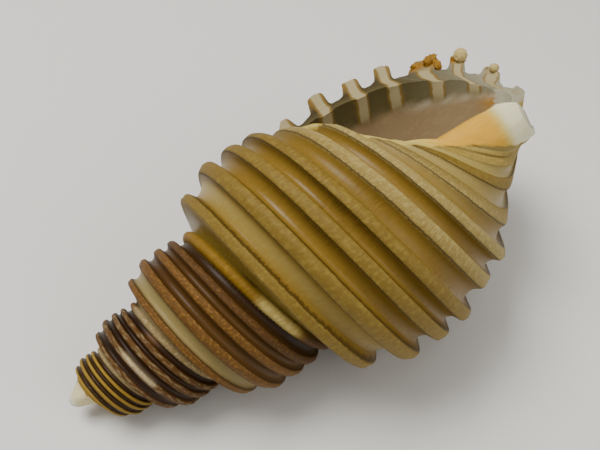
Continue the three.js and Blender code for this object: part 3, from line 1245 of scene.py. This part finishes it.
    def store(self, piece: bpy.types.Object, name: str, kind: str, values: np.ndarray) -> None:
        """Writes one attribute on the points of a mesh."""
        layer = piece.data.attributes.new(name, kind, "POINT")
        field_name = {"FLOAT_COLOR": "color", "FLOAT_VECTOR": "vector", "FLOAT": "value"}[kind]
        layer.data.foreach_set(field_name, values.astype(np.float32).ravel())

    def material(self) -> bpy.types.Material:
        """Builds the material.

        Returns:
            The shell's material, with its growth lines, mottling and gloss.
        """
        material = bpy.data.materials.new(self.name)
        material.use_nodes = True
        tree = material.node_tree
        nodes = Nodes(tree)
        shader = tree.nodes["Principled BSDF"]
        painted = nodes.attribute("painted").outputs["Color"]
        spiral = nodes.attribute("spiral").outputs["Vector"]
        marks = nodes.attribute("marks")
        band, line, gloss = nodes.parts(marks.outputs["Color"])
        hatch, golden, worn = nodes.parts(nodes.attribute("wear").outputs["Color"])
        lines, hairs, cloud, speck, wobble, patches = (
            nodes.noise(spiral, pattern) for pattern in
            (self.lines, self.hairs, self.cloud, self.speck, self.wobble, self.patches)
        )
        on_band = nodes.spread(band, 0, 1, 0.05, 1)
        colour = painted
        for tint, pattern, zone in (
            (self.speckle, speck, golden),
            (self.gilding, cloud, nodes.spread(golden, 0.4, 1, 0.1, 1)),
            (self.clouding, cloud, on_band),
            (self.pale_lines, lines, on_band),
            (self.dark_lines, hairs, on_band),
            (self.worn_skin, patches, worn),
            (self.hatching, hairs, hatch),
        ):
            paint = nodes.flat(tint.by) if tint.flat else nodes.tinted(painted, tint.by)
            cover = nodes.times(zone, nodes.spread(pattern, *tint.ramp))
            colour = nodes.blend(colour, paint, cover)
        # a thin dark line of painted shade along both edges of each band
        cover = nodes.times(line, self.edge_shade_hairline(nodes, spiral, wobble))
        colour = nodes.blend(colour, nodes.tinted(painted, self.edge_shade_line), cover)
        tree.links.new(self.posts(nodes, colour, spiral), shader.inputs["Base Color"])
        rough = nodes.plus(gloss, nodes.spread(cloud, 0.3, 0.7, -0.06, 0.08))
        tree.links.new(rough, shader.inputs["Roughness"])
        raised = tree.nodes.new("ShaderNodeBump")
        raised.inputs["Strength"].default_value = self.relief_strength
        raised.inputs["Distance"].default_value = self.relief_metres
        growth = nodes.spread(lines, 0, 1, 0, self.growth_relief)
        height = nodes.plus(
            nodes.times(growth, marks.outputs["Alpha"]), nodes.times(hairs, on_band)
        )
        tree.links.new(height, raised.inputs["Height"])
        tree.links.new(raised.outputs["Normal"], shader.inputs["Normal"])
        shader.inputs["Specular IOR Level"].default_value = self.specular
        return material

    def posts(self, nodes: Nodes, under: Socket, spiral: Socket) -> Socket:
        """Lays the ribs' pale backs, with ochre sides, over the inside of the lip.

        Args:
            nodes: The material's nodes.
            under: The colour below.
            spiral: The growth angle and the place.

        Returns:
            The colour with its posts.
        """
        zone = nodes.attribute("posts").outputs["Fac"]
        wobble = nodes.noise(spiral, self.post_wobble)
        away = self.from_crest(nodes, spiral, wobble, self.post_reach)
        colour = under
        for paint, ramp in (
            (self.colours.post_edge, self.post_side), (self.colours.post, self.post_middle),
        ):
            cover = nodes.times(zone, nodes.spread(away, *ramp))
            colour = nodes.blend(colour, nodes.flat(tuple(linear(paint))), cover)
        return colour

    def from_crest(self, nodes: Nodes, spiral: Socket, wobble: Socket, reach: float) -> Socket:
        """How far a point is from the nearest crest, in ribs.

        Args:
            nodes: The material's nodes.
            spiral: The growth angle and the place.
            wobble: Noise that moves the crest a little.
            reach: How far it moves it at most.

        Returns:
            0 on a crest and 0.5 halfway to the next.
        """
        split = nodes.tree.nodes.new("ShaderNodeSeparateXYZ")
        nodes.tree.links.new(spiral, split.inputs[0])
        shift = nodes.spread(wobble, 0.3, 0.7, 0.5 - reach, 0.5 + reach)
        share = nodes.maths("FRACT", nodes.plus(split.outputs[1], shift))
        return nodes.maths("ABSOLUTE", nodes.maths("SUBTRACT", share, 0.5))

    def edge_shade_hairline(self, nodes: Nodes, spiral: Socket, wobble: Socket) -> Socket:
        """A thin line of painted shade along both edges of every rib's band, in the crease where it
        meets its channel.

        Args:
            nodes: The material's nodes.
            spiral: The growth angle and the place.
            wobble: Noise that moves the line a little.

        Returns:
            Near 1 on the line and 0 away from it.
        """
        away = self.from_crest(nodes, spiral, wobble, self.edge_line_reach)
        rising = nodes.spread(away, *self.edge_line_rise)
        return nodes.times(rising, nodes.spread(away, *self.edge_line_fall))


@dataclass(frozen=True)
class Studio:
    """The floor, the lights and the camera. Each lamp has its size in metres and its watts."""

    camera_mm: Triple = (-38.188, -57.56, 101.975)
    right: Triple = (0.87159, -0.48894, 0.03563)
    up: Triple = (0.355, 0.6796, 0.64196)
    lens: float = 42.319
    sensor: float = 36.0
    floor_size: float = 3.0
    floor_colour: tuple[int, int, int] = (214, 211, 204)
    key: Pair = (0.26, 3.65)
    fill: Pair = (0.5, 1.6)
    top: Pair = (0.5, 1.2)
    world_strength: float = 0.14
    aim: Triple = (0.0, 0.0, 0.015)

    def build(self) -> None:
        """Sets up everything that isn't the shell."""
        self.floor()
        self.camera()
        right, up = Vector(self.right), Vector(self.up)
        back = right.cross(up)
        self.lamp("key", up * 0.36 - right * 0.2 + back * 0.36, *self.key)
        self.lamp("fill", right * 0.4 + back * 0.4, *self.fill)
        self.lamp("top", Vector((0, 0, 0.6)), *self.top)
        world = bpy.data.worlds.new("studio")
        world.use_nodes = True
        world.node_tree.nodes["Background"].inputs["Color"].default_value = (1, 1, 1, 1)
        world.node_tree.nodes["Background"].inputs["Strength"].default_value = self.world_strength
        bpy.context.scene.world = world

    def floor(self) -> None:
        """A plain pale floor."""
        floor = primitive("floor", bpy.ops.mesh.primitive_plane_add, size=self.floor_size)
        material = bpy.data.materials.new("floor")
        material.use_nodes = True
        shader = material.node_tree.nodes["Principled BSDF"]
        shader.inputs["Base Color"].default_value = (*linear(self.floor_colour), 1)
        shader.inputs["Roughness"].default_value = 0.9
        floor.data.materials.append(material)
        floor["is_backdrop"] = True

    def camera(self) -> None:
        """The camera at the photographed angle."""
        data = bpy.data.cameras.new("camera")
        data.lens = self.lens
        data.sensor_width = self.sensor
        data.clip_start = 0.005
        camera = bpy.data.objects.new("camera", data)
        bpy.context.collection.objects.link(camera)
        right, up = Vector(self.right).normalized(), Vector(self.up).normalized()
        turned = Matrix((right, up, right.cross(up))).transposed().to_4x4()
        turned.translation = Vector(self.camera_mm) * MM
        camera.matrix_world = turned
        bpy.context.scene.camera = camera

    def lamp(self, name: str, at: Vector, size: float, power: float) -> None:
        """A soft square lamp that looks at the shell."""
        data = bpy.data.lights.new(name, "AREA")
        data.shape = "SQUARE"
        data.size = size
        data.energy = power
        lamp = bpy.data.objects.new(name, data)
        bpy.context.collection.objects.link(lamp)
        lamp.location = at
        lamp.rotation_euler = (Vector(self.aim) - at).to_track_quat("-Z", "Y").to_euler()


def main() -> None:
    """Builds the shell and the studio."""
    logging.basicConfig(level=logging.INFO, format="%(name)s: %(message)s")
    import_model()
    cad_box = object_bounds()
    bpy.ops.object.select_all(action="DESELECT")
    shell = WhelkShell()
    piece = shell.build()
    shell.keep_inside(piece, cad_box)
    finish = ShellFinish()
    finish.paint(piece, shell)
    piece.data.materials.clear()
    piece.data.materials.append(finish.material())
    alone(piece)
    bpy.ops.object.shade_smooth_by_angle(angle=math.radians(SMOOTH_DEGREES))
    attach(piece, "root")
    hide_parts("whelk_shell")
    LOG.info("%s: %d faces", piece.name, len(piece.data.polygons))
    Studio().build()


if __name__ == "__main__":
    main()
